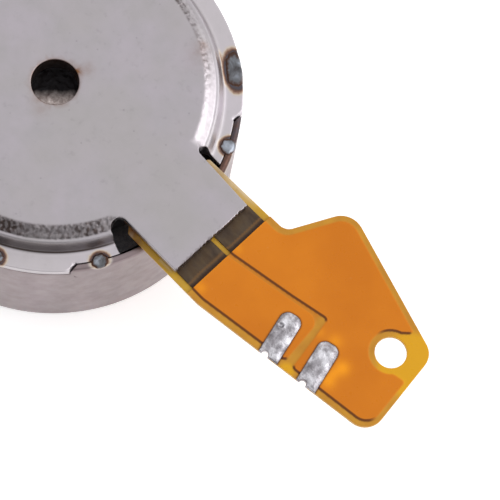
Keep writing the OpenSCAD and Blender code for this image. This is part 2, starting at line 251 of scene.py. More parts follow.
def ripple(points, per_mm, seed, octaves=1):
    """Smooth noise from about -1 to 1, that many bumps a millimetre."""
    out = np.zeros(len(points))
    for k in range(octaves):
        scale = per_mm * 2**k
        out += np.array([noise.noise((p[0] * scale, p[1] * scale, seed + 7.3 * k)) for p in points]) / 2**k
    return out


def polar(points):
    """Radius and angle of each point."""
    return np.hypot(points[:, 0], points[:, 1]), np.degrees(np.arctan2(points[:, 1], points[:, 0]))


def soft_spots(points, spots):
    """Soft round spots, each given as its place, size and strength."""
    return sum(amount * np.exp(-((points - np.array(at)) ** 2).sum(1) / size**2)
               for at, size, amount in spots)


# ---------------------------------------------------------------- meshes
EDGE_CLEAR = 0.012


def sheet(loops, region, points, edge, edge_rows=3):
    """A triangulated area bounded by outlines, and each point's distance from its border.

    region says which points of the plane belong to it, and edge is the radius of its rounded border."""
    border = np.concatenate(loops)
    cuts, inner = [], []
    start = 0
    for loop in loops:
        cuts += [(start + i, start + (i + 1) % len(loop)) for i in range(len(loop))]
        start += len(loop)
        along = np.roll(loop, -1, 0) - np.roll(loop, 1, 0)
        side = np.stack([-along[:, 1], along[:, 0]], 1) / np.linalg.norm(along, axis=1)[:, None]
        for k in range(1, edge_rows + 1):
            depth = edge * (1 - math.cos(math.pi / 2 * k / edge_rows))
            for way in (-1, 1):
                row = loop + way * side * depth
                inner.append(row[nearest(row, border) > 0.93 * depth])
    points = points[nearest(points, border) > edge + EDGE_CLEAR]
    every = np.concatenate([border, *inner, points])
    keep = region(every)
    keep[: len(border)] = True
    index = np.cumsum(keep) - 1
    cuts = [(int(index[a]), int(index[b])) for a, b in cuts]
    made = delaunay_2d_cdt([Vector(p) for p in every[keep]], cuts, [], 0, 1e-6, False)
    flat = np.array(made[0], float)
    faces = np.array(made[2])
    faces = faces[region(flat[faces].mean(1))]
    used, faces = np.unique(faces, return_inverse=True)
    faces = faces.reshape(-1, 3)
    flat = flat[used]
    sides = np.concatenate([faces[:, [0, 1]], faces[:, [1, 2]], faces[:, [2, 0]]])
    sides = dict.fromkeys((int(a), int(b)) for a, b in sides)
    rim = [(a, b) for a, b in sides if (b, a) not in sides]
    return flat, faces, rim, nearest(flat, flat[sorted({a for a, _ in rim})])


def solid(area, top, bottom, edge, under_edge=0.0):
    """Points and faces of a closed solid over an area, between two height functions."""
    flat, faces, rim, depth = area
    near = 1 - np.clip(depth / edge, 0, 1)
    drop = 1 - np.sqrt(1 - near**2)
    points = np.concatenate([np.c_[flat, top - edge * drop], np.c_[flat, bottom + under_edge * drop]])
    n = len(flat)
    sides = [(a + n, b + n, b, a) for a, b in rim]
    return points, faces.tolist() + (faces[:, ::-1] + n).tolist() + sides


def grid_faces(rows, columns):
    """Quads over a table of points, row by row. The last column meets the first."""
    faces = []
    for i in range(rows - 1):
        for j in range(columns):
            k = (j + 1) % columns
            faces.append((i * columns + j, i * columns + k, (i + 1) * columns + k, (i + 1) * columns + j))
    return faces


def lathe(profile, angles):
    """A closed profile of radius and height, turned through the angles about the shaft's axis."""
    profile = np.array(profile, float)
    turn = np.radians(angles)
    points = np.stack([np.outer(profile[:, 0], np.cos(turn)), np.outer(profile[:, 0], np.sin(turn)),
                       np.outer(profile[:, 1], np.ones(len(turn)))], 2)
    columns = len(turn)
    faces = grid_faces(len(profile), columns)
    last = (len(profile) - 1) * columns
    faces += [(last + j, last + (j + 1) % columns, (j + 1) % columns, j) for j in range(columns)]
    return points.reshape(-1, 3), faces


def placed(name, data):
    """A new object in the scene."""
    made = bpy.data.objects.new(name, data)
    bpy.context.scene.collection.objects.link(made)
    return made


def piece(name, points, faces, material, nodes, attributes=None, body="stator", sharp=40):
    """A mesh that stands for CAD nodes, takes a finish and rides on a body.

    An attribute given for one side of a sheet serves for both."""
    mesh = bpy.data.meshes.new(name)
    mesh.from_pydata((points * MM).tolist(), [], faces)
    mesh.shade_smooth()
    mesh.set_sharp_from_angle(angle=math.radians(sharp))
    for key, values in (attributes or {}).items():
        layer = mesh.attributes.new(key, "FLOAT", "POINT")
        layer.data.foreach_set("value", np.resize(values, len(points)).astype(np.float32))
    mesh.materials.append(material)
    made = placed(name, mesh)
    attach(made, body)
    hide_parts(*nodes)
    return made


def joined(parts):
    """Several pairs of points and faces as one."""
    points, faces, start = [], [], 0
    for p, f in parts:
        points.append(p)
        faces += [tuple(i + start for i in face) for face in f]
        start += len(p)
    return np.concatenate(points), faces


# ---------------------------------------------------------------- materials
def srgb(red, green, blue):
    """A colour given in screen values from 0 to 255, as the shader wants it."""
    linear = [((c / 255 + 0.055) / 1.055) ** 2.4 if c > 10 else c / 3295 for c in (red, green, blue)]
    return (*linear, 1)


def add_node(tree, kind, inputs, settings):
    """A shader node. An input given as a socket is linked, and any other is set."""
    node = tree.nodes.new(kind)
    for key, value in settings.items():
        setattr(node, key, value)
    for key, value in inputs.items():
        if isinstance(value, bpy.types.NodeSocket):
            tree.links.new(value, node.inputs[key])
        else:
            node.inputs[key].default_value = value
    return node


class Finish:
    """A material's node tree. Its texture coordinates are the piece's own, in millimetres."""

    def __init__(self, name):
        self.material = bpy.data.materials.new(name)
        self.material.use_nodes = True
        self.tree = self.material.node_tree
        self.tree.nodes.clear()
        self.place = self.add("ShaderNodeTexCoord").outputs["Object"]
        self.place = self.stretch((1 / MM,) * 3)

    def add(self, kind, inputs=None, **settings):
        return add_node(self.tree, kind, inputs or {}, settings)

    def stretch(self, scale, turn=(0, 0, 0)):
        turn = tuple(math.radians(a) for a in turn)
        inputs = {"Vector": self.place, "Scale": scale, "Rotation": turn}
        return self.add("ShaderNodeMapping", inputs).outputs[0]

    def noise(self, scale, detail=2.0, roughness=0.55, at=None, distortion=0.0):
        return self.add("ShaderNodeTexNoise", {
            "Vector": at or self.place, "Scale": scale, "Detail": detail,
            "Roughness": roughness, "Distortion": distortion}).outputs["Fac"]

    def ramp(self, value, *stops):
        node = self.add("ShaderNodeValToRGB", {"Fac": value})
        parts = node.color_ramp.elements
        for at, _ in stops[1:-1]:
            parts.new(at)
        for part, (at, colour) in zip(parts, stops):
            part.position = at
            part.color = colour if isinstance(colour, tuple) else (colour,) * 3 + (1,)
        return node.outputs["Color"]

    def mask(self, value, low, high, top=1.0):
        """0 up to low, and top from high on."""
        return self.ramp(value, (low, 0.0), (high, top))

    def dots(self, scale, core, reach):
        """Small round specks."""
        cells = self.add("ShaderNodeTexVoronoi", {"Vector": self.place, "Scale": scale})
        return self.ramp(cells.outputs["Distance"], (core, 1.0), (reach, 0.0))

    def mix(self, amount, first, second):
        inputs = {0: amount, 6: first, 7: second}
        return self.add("ShaderNodeMix", inputs, data_type="RGBA", blend_type="MIX").outputs[2]

    def sum(self, operation, first, second):
        return self.add("ShaderNodeMath", {0: first, 1: second}, operation=operation).outputs[0]

    def scale(self, value, factor):
        return self.sum("MULTIPLY", value, factor)

    def attribute(self, name):
        return self.add("ShaderNodeAttribute", attribute_name=name).outputs["Fac"]

    def tinted(self, colour, name, *tint):
        """A colour, mixed with a tint as far as the mesh's attribute says."""
        return self.mix(self.attribute(name), colour, srgb(*tint))

    def ragged(self, value, amount, *how):
        """A value made uneven by noise."""
        return self.sum("ADD", value, self.scale(self.sum("SUBTRACT", self.noise(*how), 0.5), amount))

    def bump(self, height, depth, below=None):
        inputs = {"Height": height, "Distance": depth * MM, "Strength": 1.0}
        if below is not None:
            inputs["Normal"] = below
        return self.add("ShaderNodeBump", inputs).outputs[0]

    def done(self, **inputs):
        shader = self.add("ShaderNodeBsdfPrincipled", {k.replace("_", " "): v for k, v in inputs.items()})
        self.add("ShaderNodeOutputMaterial", {"Surface": shader.outputs[0]})
        return self.material


# Browns of heat tint, which also give the painted shade on the can's edge beside the tongue.
HEAT_AND_SHADE_TINTS = [(0.0, srgb(186, 180, 180)), (0.3, srgb(202, 191, 178)), (0.52, srgb(168, 144, 124)),
              (0.72, srgb(118, 86, 70)), (0.9, srgb(76, 58, 52)), (1.0, srgb(70, 66, 72))]


def steel(name, pale, dull, roughness, stretch=(1, 1, 1)):
    """Nickel-plated sheet: soft mottling, small dark pits, fine grain, stains and heat tints, with painted
    highlights and painted shade from the mesh's attributes.
    """
    f = Finish(name)
    at = f.stretch(stretch)
    colour = f.mix(f.mask(f.noise(1.1, 4, 0.55, at=at), 0.34, 0.66), pale, dull)
    tint = f.mask(f.noise(0.5, 2, 0.5, at=at), 0.4, 0.62, 0.45)
    colour = f.mix(tint, colour, (dull[0], dull[1], dull[2] * 0.94, 1))
    smudge = f.mask(f.noise(4.5, 3, 0.6, at=at), 0.6, 0.75, 0.16)
    colour = f.mix(smudge, colour, srgb(120, 114, 118))
    pits = f.dots(2.1, 0.03, 0.07)
    colour = f.mix(f.scale(pits, 0.22), colour, srgb(90, 86, 90))
    # Painted highlight: the bright attribute lightens the colour.
    colour = f.tinted(colour, "bright", 240, 233, 238)
    # Painted shade, over the cracks too: the wall attribute darkens the colour.
    colour = f.tinted(colour, "wall", 74, 64, 62)
    patchy = f.ramp(f.noise(5.0, 4, 0.65), (0.3, 0.35), (0.65, 1.0))
    colour = f.mix(f.sum("MULTIPLY", f.attribute("stain"), patchy), colour, srgb(128, 92, 66))
    # Heat tints, and on the can also painted shade, from the attribute.
    heat = f.attribute("heat_tint_and_shade")
    ragged = f.ragged(heat, 0.3, 9.0, 4, 0.65)
    colour = f.mix(f.mask(heat, 0.02, 0.3, 0.95), colour, f.ramp(ragged, *HEAT_AND_SHADE_TINTS))
    rough = f.ramp(f.noise(2.2, 4, 0.6), (0.3, roughness - 0.06), (0.7, roughness + 0.08))
    rough = f.sum("ADD", rough, f.scale(f.attribute("bright"), 0.15))
    grain = f.bump(f.noise(26.0, 3, 0.6, at=at), 0.0012)
    normal = f.bump(f.noise(1.6, 3, 0.5, at=at), 0.006, below=grain)
    return f.done(Base_Color=colour, Metallic=1.0, Roughness=rough, Normal=normal)


def weld_metal():
    """Remelted steel: dark blue-grey with pale streaks, and brown towards its edge."""
    f = Finish("remelted_steel")
    rim = f.ragged(f.attribute("edge"), 0.5, 5.0, 3, 0.6)
    tone = f.noise(2.6, 3, 0.55, distortion=0.6)
    middle = f.ramp(tone, (0.36, srgb(80, 78, 80)), (0.5, srgb(106, 108, 112)),
                    (0.66, srgb(158, 164, 174)))
    colour = f.mix(f.mask(rim, 0.62, 0.8), middle, srgb(78, 58, 50))
    colour = f.mix(f.mask(rim, 0.9, 1.04), colour, srgb(150, 112, 84))
    rough = f.ramp(f.noise(6.0, 4, 0.6), (0.3, 0.26), (0.7, 0.45))
    normal = f.bump(f.noise(4.0, 3, 0.6), 0.012)
    return f.done(Base_Color=colour, Metallic=1.0, Roughness=rough, Normal=normal)


def shaft_metal():
    """Ground steel, darkened by a painted shadow on its end except for a lit crescent on the near side, and a
    little on the rest.
    """
    f = Finish("ground_steel")
    end_shadow = f.ragged(f.attribute("end_shadow"), 0.3, 4.0, 4, 0.6)
    clean = f.ramp(f.noise(11.0, 5, 0.7), (0.3, srgb(160, 146, 142)), (0.7, srgb(212, 202, 198)))
    # Painted shadow: near black where the attribute is high.
    colour = f.mix(f.mask(end_shadow, 0.12, 0.9), clean, srgb(20, 18, 20))
    rough = f.ramp(f.noise(9.0, 4, 0.6), (0.3, 0.35), (0.7, 0.6))
    normal = f.bump(f.noise(14.0, 4, 0.65), 0.02)
    return f.done(Base_Color=colour, Metallic=0.85, Roughness=rough, Normal=normal)


def film(name, bare, over_copper, gloss=0.3):
    """Polyimide: tan where it is bare and orange over copper, with painted glow, painted highlights, and a
    brown darkening: painted shade on the coverlay, darker brown near the can on the base film.
    """
    f = Finish(name)
    glow = f.mask(f.noise(0.55, 4, 0.5), 0.35, 0.65)
    orange = f.mix(glow, over_copper[0], over_copper[1])
    pale = f.ramp(f.noise(2.4, 3, 0.5), (0.3, bare[0]), (0.7, bare[1]))
    pale = f.tinted(pale, "pale", 221, 162, 20)
    colour = f.mix(f.attribute("copper"), pale, orange)
    # Painted glow: bright orange spots on the coverlay.
    colour = f.tinted(colour, "glow", 248, 156, 10)
    # Painted highlights: pale lines and a dot on the base film.
    colour = f.tinted(colour, "worn", 214, 194, 158)
    # Brown darkening: painted shade on the coverlay, and darker brown near the can on the base film.
    colour = f.tinted(colour, "brown_shade", 84, 38, 4)
    dust = f.dots(1.7, 0.02, 0.05)
    colour = f.mix(f.scale(dust, 0.25), colour, srgb(214, 150, 84))
    rough = f.ramp(f.noise(5.0, 3, 0.6), (0.3, gloss - 0.05), (0.7, gloss + 0.12))
    normal = f.bump(f.noise(1.6, 3, 0.5), 0.008, below=f.bump(f.noise(22.0, 2, 0.5), 0.0006))
    return f.done(Base_Color=colour, Roughness=rough, Normal=normal, IOR=1.4, Specular_IOR_Level=0.35)


def copper_foil():
    """Etched copper with a tarnished, brushed surface, dried glue along the coverlay, and painted shade just
    before the coverlay's edge.
    """
    f = Finish("tarnished_copper")
    at = f.stretch((1.6, 4.5, 1.0), turn=(0, 0, 20))
    lines = f.noise(1.2, 4, 0.6, at=at)
    colour = f.ramp(lines, (0.3, srgb(62, 48, 36)), (0.5, srgb(76, 62, 49)), (0.72, srgb(92, 78, 58)))
    blots = f.mask(f.noise(2.2, 4, 0.6), 0.42, 0.7, 0.6)
    colour = f.mix(blots, colour, srgb(84, 62, 34))
    colour = f.tinted(colour, "glue", 118, 84, 46)
    # Painted shade from the attribute, darkest next to the coverlay's edge.
    colour = f.tinted(colour, "brown_shade", 44, 20, 8)
    rough = f.ramp(lines, (0.3, 0.35), (0.7, 0.5))
    normal = f.bump(lines, 0.008)
    return f.done(Base_Color=colour, Metallic=0.55, Roughness=rough, Normal=normal)


def solder_metal():
    """Tinned solder: bright, lumpy and speckled."""
    f = Finish("tin_solder")
    tone = f.noise(3.4, 4, 0.6)
    colour = f.ramp(tone, (0.34, srgb(128, 124, 128)), (0.5, srgb(170, 167, 172)),
                    (0.64, srgb(222, 221, 226)))
    spots = f.dots(7.0, 0.05, 0.12)
    colour = f.mix(f.scale(spots, 0.3), colour, srgb(84, 82, 88))
    colour = f.tinted(colour, "edge", 70, 44, 40)
    rough = f.ramp(f.noise(8.0, 5, 0.65), (0.3, 0.22), (0.7, 0.5))
    normal = f.bump(f.noise(6.0, 5, 0.65), 0.03, below=f.bump(f.noise(24.0, 3, 0.6), 0.003))
    return f.done(Base_Color=colour, Metallic=0.9, Roughness=rough, Normal=normal)


def plain(name, dark, light, metallic, roughness, scale, depth):
    """A material of the motor's inside: two tones of noise, grain and uneven gloss."""
    f = Finish(name)
    colour = f.ramp(f.noise(scale, 5, 0.65), (0.3, srgb(*dark)), (0.7, srgb(*light)))
    rough = f.ramp(f.noise(scale * 0.6, 3, 0.6), (0.3, roughness - 0.08), (0.7, roughness + 0.1))
    normal = f.bump(f.noise(scale * 2.5, 4, 0.6), depth)
    return f.done(Base_Color=colour, Metallic=metallic, Roughness=rough, Normal=normal)


bracket_steel = steel("bracket_sheet", srgb(177, 171, 177), srgb(171, 167, 170), 0.34)
can_steel = steel("can_sheet", srgb(148, 134, 137), srgb(132, 119, 121), 0.36, stretch=(1, 1, 0.25))
remelted = weld_metal()
shaft_steel = shaft_metal()
coverlay_film = film("coverlay", (srgb(190, 130, 38), srgb(202, 144, 42)),
                     (srgb(206, 116, 5), srgb(216, 125, 11)))
base_film = film("amber_film", (srgb(190, 146, 44), srgb(204, 162, 52)),
                 (srgb(156, 88, 20), srgb(174, 102, 24)))
trace_copper = copper_foil()
solder = solder_metal()

INSIDE = {
    "ring_magnet": plain("magnet_plating", (92, 92, 96), (128, 128, 134), 0.9, 0.4, 3.0, 0.006),
    "fpc_bonding_tape": plain("tape", (150, 132, 84), (188, 172, 120), 0.0, 0.55, 3.0, 0.006),
    "brush": plain("brush_alloy", (196, 160, 84), (226, 196, 120), 1.0, 0.25, 8.0, 0.002),
    "washer": plain("washer_film", (206, 190, 140), (226, 214, 172), 0.0, 0.4, 6.0, 0.002),
    "bearing": plain("sintered_bronze", (120, 80, 48), (176, 126, 82), 0.9, 0.45, 16.0, 0.01),
    "board": plain("board_mask", (12, 62, 34), (20, 88, 48), 0.0, 0.3, 5.0, 0.004),
    "commutator": plain("gold_plate", (206, 166, 76), (236, 202, 116), 1.0, 0.22, 9.0, 0.002),
    "coil": plain("enamelled_wire", (132, 52, 22), (196, 92, 44), 0.8, 0.3, 6.0, 0.01),
    "counterweight": plain("tungsten", (96, 96, 100), (134, 134, 138), 0.9, 0.5, 12.0, 0.008),
    "moulding": plain("black_resin", (18, 18, 20), (34, 34, 36), 0.0, 0.45, 8.0, 0.006),
}


# ---------------------------------------------------------------- bracket
def weld_places():
    """Angle of each weld, from the CAD nuggets' own points."""
    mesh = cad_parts["weld_spots"].data
    angles = np.sort(np.degrees([math.atan2(v.co.y, v.co.x) % (2 * math.pi) for v in mesh.vertices]))
    groups = np.split(angles, np.where(np.diff(angles) > 3)[0] + 1)
    return [float((g[0] + g[-1]) / 2) for g in groups]


WELDS = weld_places()
WELD_SIZES = {28: (0.26, 0.24), 54: (0.57, 0.3), 331: (0.25, 0.23), 298: (0.28, 0.24)}
USUAL_WELD = (0.3, 0.25)
WELD_MIDDLE = 4.85
HEAT_REACH = 0.13


def weld_size(angle):
    """Half length along the seam and half width of a weld."""
    near = [size for at, size in WELD_SIZES.items() if abs(angle - at) < 2]
    return near[0] if near else USUAL_WELD


def heat(radius, angle, below):
    """Heat tint round the welds: 1 at a weld's edge, fading out. below is the way down the can's wall."""
    out = np.zeros(len(radius))
    for middle in WELDS:
        length, width = weld_size(middle)
        turn = (angle - middle + 180) % 360 - 180
        along = np.radians(turn) * COIN_R / length
        across = (radius - WELD_MIDDLE + below) / width
        gap = (np.hypot(along, across) - 1) * min(length, width)
        out = np.maximum(out, smooth(gap, HEAT_REACH, -0.02))
    return out


def scorched(radius, angle):
    """Brown tints that run from the longest weld along the rim."""
    drawn = 0.75 * smooth(np.hypot((angle - 47.6) / 2.8, (radius - 4.82) / 0.18), 1.2, 0.5)
    line = 0.62 * smooth(np.abs(radius - 4.53), 0.05, 0.015) * smooth(np.abs(angle - 55), 8, 4)
    return np.maximum(drawn, line)


def jagged(y):
    """How far the tongue's sheared end stands back."""
    coarse = [abs(noise.noise((v * 9, 3.1, 0.4))) for v in y]
    fine = [abs(noise.noise((v * 23, 8.1, 0.4))) for v in y]
    teeth = np.array([a + 0.6 * b for a, b in zip(coarse, fine)])
    return 0.04 * teeth * smooth(np.abs(y), TONGUE_HALF, TONGUE_HALF - 0.1)


def bracket_outline():
    """Half of the bracket's plan from the tongue's end round to the back, then the other half."""
    y = np.arange(0, TONGUE_HALF - 0.05, 0.022)
    seam = SEAM_R - 0.02
    corner = arc(0.05, 0, 80, 20, (TONGUE_END - 0.05, TONGUE_HALF - 0.05))
    lugs = arc(COIN_R, LUG_START + LUG_LEAN, 180 - LUG_START - LUG_LEAN)
    rim = [lugs, arc(seam, 180 - LUG_START, 180)]
    halves = []
    for side, (x, middle, radius) in RELIEFS.items():
        end = np.stack([TONGUE_END - jagged(side * y), y], 1)
        relief = arc(radius, -90, -270, 8, (x, abs(middle)))
        first = arc(seam, RIM_ENDS[side], LUG_START)
        halves.append(np.concatenate([end, corner, relief, first, *rim]) * (1, side))
    return np.concatenate([halves[0], halves[1][::-1][1:-1]])


def is_tongue(points):
    """1 on the flat tongue and 0 on the round of the coin."""
    return smooth(np.abs(points[:, 1] - 0.05), 1.62, 1.4) * (points[:, 0] > 2)


def crinkles(points):
    """How torn the rolled edge is: rough on most of it, smooth on the side after the tongue."""
    radius, angle = polar(points)
    band = smooth(radius, 3.9, 3.97) * smooth(radius, 4.27, 4.22)
    band *= 1 - 0.6 * smooth(radius, 4.06, 4.16) * smooth(angle, 30, 45) * smooth(angle, 130, 100)
    worn = 0.3 + 0.7 * smooth(angle, 40, 58) + 0.7 * smooth(angle, -19, -23)
    patch = 0.8 + 0.2 * np.clip(ripple(points, 0.9, 5.0) * 2, -1, 1)
    return band * np.clip(worn, 0, 1) * patch * (1 - is_tongue(points))


def bracket_points():
    """Points inside the bracket's plan: fine on the step, and coarse on what is flat."""
    face = grid((-3.9, -3.9), (3.9, 3.9), 0.17)
    face = face[np.hypot(*face.T) < 3.9]
    roll = rings(np.arange(3.89, 4.33, 0.024), 1000)
    wall = rings([4.335, 4.35, 4.365, 4.40, 4.44, 4.455, 4.47, 4.49, 4.52, 4.56], 600)
    ends = [arc(r, a - 0.4, a + 3.6, 0.4) for r in (4.84, 4.87, 4.90, 4.93, 4.96) for a in
            (LUG_START, 177 - LUG_START, 180 + LUG_START, 357 - LUG_START)]
    rim = np.concatenate([rings([4.6, 4.68, 4.75, 4.88, 4.94], 480), *ends])
    around = [part[is_tongue(part) < 0.5] for part in (roll, wall, rim)]
    tongue = grid((3.9, -TONGUE_HALF), (TONGUE_END, TONGUE_HALF + 0.1), 0.09)
    tongue = tongue[np.hypot(*tongue.T) > 4.0]
    return np.concatenate([rings([COLLAR_R, COLLAR_R + 0.01], 120), face, *around, tongue])


def bracket_top(flat, torn):
    """Height of the upper side: the step, waves, the torn edge, and bevels where the lugs end."""
    radius, angle = polar(flat)
    round_part = 1 - is_tongue(flat)
    drop = np.interp(radius, *zip(*STEP)) * round_part
    wave = 0.006 * ripple(flat, 0.45, 1.0, 2) * smooth(radius, HOLE_R, 1.2)
    calm = 1 - 0.45 * smooth(angle, 30, 50)
    rough = calm * torn * (0.03 * ripple(flat, 7.5, 2.0, 2) + 0.03 * ripple(flat, 16.0, 4.0))
    ledge = smooth(np.abs(radius - 4.3), 0.05, 0.0) * round_part * 0.006 * ripple(flat, 2.2, 9.0, 2)
    dish = 0.006 * smooth(radius, HOLE_R + 0.06, HOLE_R)
    folded = np.minimum(np.abs(angle), 180 - np.abs(angle))
    past_end = folded - LUG_START - LUG_LEAN * np.clip((radius - SEAM_R) / (COIN_R - SEAM_R), 0, 1)
    facet = 0.06 * smooth(past_end, 1.4, 0.0) * (past_end > -0.05) * smooth(radius, SEAM_R - 0.08, SEAM_R)
    return FACE - drop + np.minimum(wave + rough + ledge - dish, 0.012) - facet * round_part


def bracket_under(flat):
    """Height of the lower side, with its collar round the shaft."""
    radius, _ = polar(flat)
    on_tongue = is_tongue(flat)
    under_r = [0, COLLAR_R, COLLAR_R + 0.01, 3.95, 3.985, 4.25, 6]
    under_z = [COLLAR_UNDER, COLLAR_UNDER, FACE_UNDER, FACE_UNDER, FACE_UNDER - 0.28, RIM_UNDER, RIM_UNDER]
    bottom = np.interp(radius, under_r, under_z)
    return np.where(radius > 3, bottom * (1 - on_tongue) + FACE_UNDER * on_tongue, bottom)


STAINS = [((0.2, 0.66), 0.1, 0.9), ((0.32, 0.85), 0.18, 0.4), ((0.3, -0.78), 0.2, 0.22),
          ((0.0, -0.72), 0.2, 0.12), ((1.98, 3.42), 0.26, 0.24), ((1.92, 3.62), 0.12, 0.35),
          ((2.15, 3.15), 0.35, 0.12)]


def bracket_tints(flat, torn):
    """What the bracket's steel shows: painted shade on the step's wall, its foot and the tongue's end,
    cracks, stains, heat, and painted highlights.
    """
    radius, angle = polar(flat)
    round_part = 1 - is_tongue(flat)
    dark_side = smooth(angle, -15, -30)
    light_side = smooth(angle, 5, 20) * smooth(angle, 150, 110)
    # Painted shade: the step's wall is darker, more on the side away from the light and not at all on the lit
    # side.
    wall_shade = smooth(radius, 4.32, 4.35) * smooth(radius, 4.52, 4.48) * round_part
    # Painted shade: a dark line in the crease at the foot of the wall.
    foot = smooth(np.abs(radius - 4.49), 0.03, 0.01) * round_part
    cracks = smooth(ripple(flat, 10.0, 31.0, 2), -0.2, 0.4)
    # Cracks on the torn edge, with painted shade added on the side away from the light.
    cracks_and_shade = torn * (0.35 + 0.5 * cracks + 0.3 * dark_side)
    # Painted shade: the tongue's end is darkened on its -Y half, so it shows no highlight there.
    sheared = 0.85 * smooth(TONGUE_END - flat[:, 0], 0.06, 0.02) * smooth(flat[:, 1], 0.35, -0.1)
    tint = wall_shade * (0.35 + 0.27 * dark_side) * (1 - light_side) + cracks_and_shade + sheared
    tint = tint + foot * (0.6 * dark_side + 0.4 * light_side)
    # Painted highlights: the rim's inner band, the wall on the lit side, and the rolled edge on the lit side.
    bright = 0.25 * smooth(radius, 4.5, 4.56) * round_part + 0.25 * wall_shade * light_side
    painted_highlight = smooth(radius, 3.9, 3.98) * smooth(radius, 4.3, 4.2)
    painted_highlight = painted_highlight * smooth(angle, 10, 22) * smooth(angle, 75, 45)
    bright = bright + 0.6 * painted_highlight * round_part
    stain = soft_spots(flat, STAINS)
    stain = stain + 0.75 * smooth(radius, HOLE_R + 0.05, HOLE_R)
    stain = stain + 0.06 * smooth(radius, HOLE_R + 0.3, HOLE_R)
    hot = np.maximum(heat(radius, angle, 0), scorched(radius, angle))
    hot = hot * smooth(radius, 4.4, 4.5) * round_part
    return {"wall": np.clip(tint, 0, 1), "stain": stain, "heat_tint_and_shade": hot, "bright": bright}


def build_bracket():
    """A pressed plate: raised face, step, rim with lugs, tongue and reliefs."""
    outline = spaced(bracket_outline(), 0.045)

    def region(points):
        return inside(points, outline) & (np.hypot(*points.T) > HOLE_R - 1e-4)

    edge = 0.028
    area = sheet([outline, circle((0, 0), HOLE_R, 120)], region, bracket_points(), edge)
    flat = area[0]
    torn = crinkles(flat)
    points, faces = solid(area, bracket_top(flat, torn), bracket_under(flat), edge, 0.03)
    piece("bracket_pressing", points, faces, bracket_steel, ["bracket"],
          {k: np.concatenate([v, v * 0.3]) for k, v in bracket_tints(flat, torn).items()})


# ---------------------------------------------------------------- can
CAN_ROLL = 0.12
CAN_CORNER = 0.25
CAN_SHEET = 0.2
CAN_LIP = 0.04


def can_profile():
    """The can's section, closed: face, corner, wall, rolled edge, lip and bore."""
    bore = COIN_R - CAN_SHEET
    seat_r = SHAFT_TIP_R + 0.2
    middle_r = COIN_R - CAN_CORNER
    face = [(SHAFT_TIP_R, 0.0)] + [(r, 0.0) for r in np.linspace(SHAFT_TIP_R + 0.1, middle_r - 0.1, 14)]
    corner = [(middle_r + CAN_CORNER * math.sin(a), CAN_CORNER - CAN_CORNER * math.cos(a))
              for a in np.radians(np.arange(0, 90, 11.25))]
    wall = [(COIN_R, z) for z in np.linspace(CAN_CORNER, RIM_TOP - CAN_ROLL, 26)]
    roll = [(COIN_R - CAN_ROLL + CAN_ROLL * math.cos(a), RIM_TOP - CAN_ROLL + CAN_ROLL * math.sin(a))
            for a in np.radians(np.arange(11.25, 91, 11.25))]
    lip = [(SEAM_R + 0.02, RIM_TOP), (SEAM_R + 0.006, RIM_TOP - 0.006), (SEAM_R, RIM_TOP - 0.02),
           (SEAM_R, RIM_TOP - 0.12)]
    inner = [(SEAM_R, RIM_UNDER), (bore, RIM_UNDER), (bore, CAN_CORNER), (bore - 0.02, CAN_SHEET + 0.01),
             (bore - 0.06, CAN_SHEET), (2.5, CAN_SHEET), (seat_r, CAN_SHEET), (seat_r, 0.4),
             (SHAFT_TIP_R, 0.4)]
    return np.array(face + corner + wall + roll + lip + inner)


def can_angles():
    """Angles of the can's columns, with a pair where its wall steps down under each lug's end."""
    lugs = ((LUG_START, -1), (180 - LUG_START, 1), (180 + LUG_START, -1), (360 - LUG_START, 1))
    ends = [middle + way * gap for middle, way in lugs for gap in (LUG_GAP, LUG_GAP + 0.05)]
    return np.sort([a for a in np.arange(0, 360, 0.5) if all(abs(a - e) > 0.3 for e in ends)] + ends)


def can_heat_and_shade(radius, angle, height):
    """Heat tint below the welds, and painted shade in the heat tints' browns on the edge that the rim leaves
    bare beside the tongue.
    """
    hot = 0.45 * heat(radius, angle, RIM_TOP - height) * (height > 2.5)
    # Painted shade: dark browns on the can's edge beside the tongue, where the rim leaves it bare.
    bare = 0.95 * smooth(np.abs(angle - 33.6), 5.0, 3.6) + 0.86 * smooth(np.abs(angle - 21.5), 6.0, 4.0)
    on_edge = smooth(height, RIM_TOP - 0.4, RIM_TOP - 0.2) * (radius > SEAM_R - 0.01)
    return np.maximum(hot, bare * on_edge)


